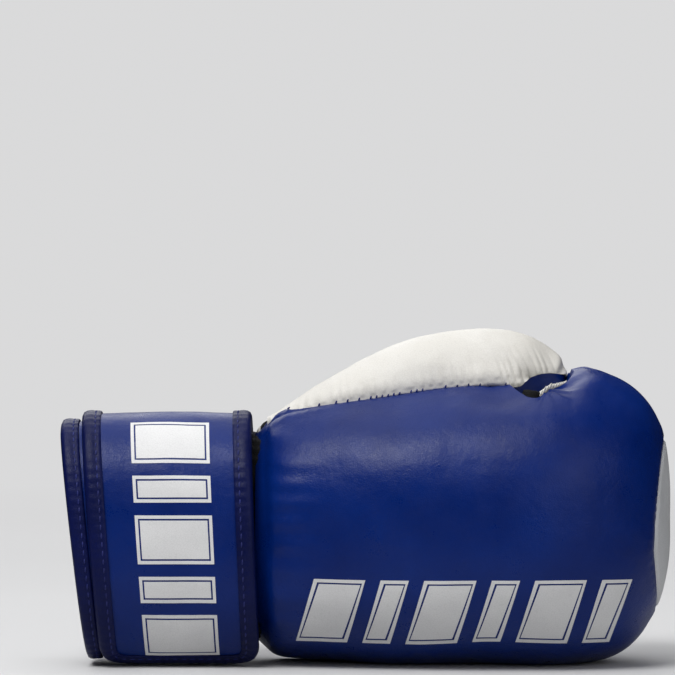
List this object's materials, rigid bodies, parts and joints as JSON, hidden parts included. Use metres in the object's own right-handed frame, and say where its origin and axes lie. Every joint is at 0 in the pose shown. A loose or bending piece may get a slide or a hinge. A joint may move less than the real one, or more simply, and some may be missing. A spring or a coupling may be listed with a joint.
{
  "type": "padded striking glove",
  "caption": "Right-hand padded striking glove with curled finger roll, attached thumb, mesh palm, split cuff and wrap-around wrist strap.",
  "frame": {"origin": "on the floor, under the middle of the glove's bounding box", "axes": "+X from the wrist opening to the knuckles, +Y out of the palm, -Y out of the back of the hand, +Z from the little-finger side up to the thumb side; the glove stands on its little-finger side"},
  "size_m": [0.2866, 0.122, 0.1582],
  "materials": {
    "leather_blue": "royal blue grained leather, soft sheen",
    "leather_white": "white grained leather, soft sheen",
    "binding_navy": "dark navy folded binding tape",
    "fabric_black": "black breathable mesh",
    "foam_grey": "closed-cell foam padding",
    "lining_dark": "dark woven lining",
    "hook_loop_black": "black hook-and-loop tape and webbing"
  },
  "bodies": {
    "mitt": {"back_shell": "leather_blue", "back_foam": "foam_grey", "little_finger_side_foam": "foam_grey", "index_side_foam": "foam_grey", "palm_finger_band": "leather_white", "palm_middle_band": "leather_white", "palm_grip_band": "leather_white", "palm_mesh": "fabric_black", "palm_thumb_strip": "leather_white", "thumb_web": "leather_blue", "little_finger_side_panel": "leather_blue", "palm_heel": "leather_white", "slit_guard": "leather_white", "slit_binding": "binding_navy", "back_liner": "lining_dark", "palm_liner": "lining_dark", "grip_bar": "foam_grey", "thumb_tie": "hook_loop_black"},
    "finger_roll": {"knuckle_panel": "leather_white", "curl_shell": "leather_blue", "curl_foam": "foam_grey", "curl_liner": "lining_dark"},
    "thumb": {"thumb_outer": "leather_white", "thumb_inner": "leather_blue", "thumb_foam": "foam_grey"},
    "cuff": {"cuff_back_leather": "leather_blue", "cuff_back_padding": "foam_grey", "cuff_back_lining": "lining_dark", "cuff_back_binding": "binding_navy", "cuff_loop_tape": "hook_loop_black"},
    "cuff_thumb_flap": {"cuff_thumb_flap_leather": "leather_blue", "cuff_thumb_flap_padding": "foam_grey", "cuff_thumb_flap_lining": "lining_dark", "cuff_thumb_flap_binding": "binding_navy"},
    "cuff_little_flap": {"cuff_little_flap_leather": "leather_blue", "cuff_little_flap_padding": "foam_grey", "cuff_little_flap_lining": "lining_dark", "cuff_little_flap_binding": "binding_navy"},
    "strap_palm": {"strap_palm_leather": "leather_blue", "strap_palm_binding_wrist": "binding_navy", "strap_palm_binding_hand": "binding_navy"},
    "strap_side": {"strap_side_leather": "leather_blue", "strap_side_binding_wrist": "binding_navy", "strap_side_binding_hand": "binding_navy"},
    "strap_back": {"strap_back_leather": "leather_blue", "strap_back_binding": "binding_navy", "strap_hook_tape": "hook_loop_black"}
  },
  "joints": [
    {"name": "strap_open", "type": "hinge", "parent": "cuff", "child": "strap_palm", "pos_m": [-0.09125, 0.02452, 0.01307], "axis": [-1, 0, 0], "range_deg": [0, 35]},
    {"name": "strap_side_unwrap", "type": "hinge", "parent": "strap_palm", "child": "strap_side", "pos_m": [-0.09125, 0.0274, 0.10701], "axis": [-1, 0, 0], "range_deg": [0, 56]},
    {"name": "strap_back_peel", "type": "hinge", "parent": "strap_side", "child": "strap_back", "pos_m": [-0.09125, -0.0274, 0.10701], "axis": [-1, 0, 0], "range_deg": [0, 77]},
    {"name": "cuff_thumb_flap_fold", "type": "hinge", "parent": "cuff", "child": "cuff_thumb_flap", "pos_m": [-0.05675, 0.0373, 0.0516], "axis": [0.8646, 0, -0.5025], "range_deg": [0, 10.5]},
    {"name": "cuff_little_flap_fold", "type": "hinge", "parent": "cuff", "child": "cuff_little_flap", "pos_m": [-0.05675, 0.0373, 0.0384], "axis": [-0.9625, 0, -0.2711], "range_deg": [0, 7.2]},
    {"name": "thumb_swing", "type": "hinge", "parent": "mitt", "child": "thumb", "pos_m": [-0.03725, -0.01, 0.12], "axis": [0.9948, -0.0226, 0.0995], "range_deg": [0, 8]},
    {"name": "finger_roll_open", "type": "hinge", "parent": "mitt", "child": "finger_roll", "pos_m": [0.08335, -0.0604, 0.068], "axis": [0, 0, -1], "range_deg": [0, 12]},
    {"name": "wrist_flex", "type": "hinge", "parent": "mitt", "child": "cuff", "pos_m": [-0.04725, 0, 0.0588], "axis": [0, 0, 1], "range_deg": [-5, 5]}
  ],
  "couplings": [
    {"joint": "strap_side_unwrap", "follows": "strap_open", "ratio": 1.6},
    {"joint": "strap_back_peel", "follows": "strap_open", "ratio": 2.2},
    {"joint": "cuff_thumb_flap_fold", "follows": "strap_open", "ratio": 0.3},
    {"joint": "cuff_little_flap_fold", "follows": "strap_open", "ratio": 0.2}
  ]
}
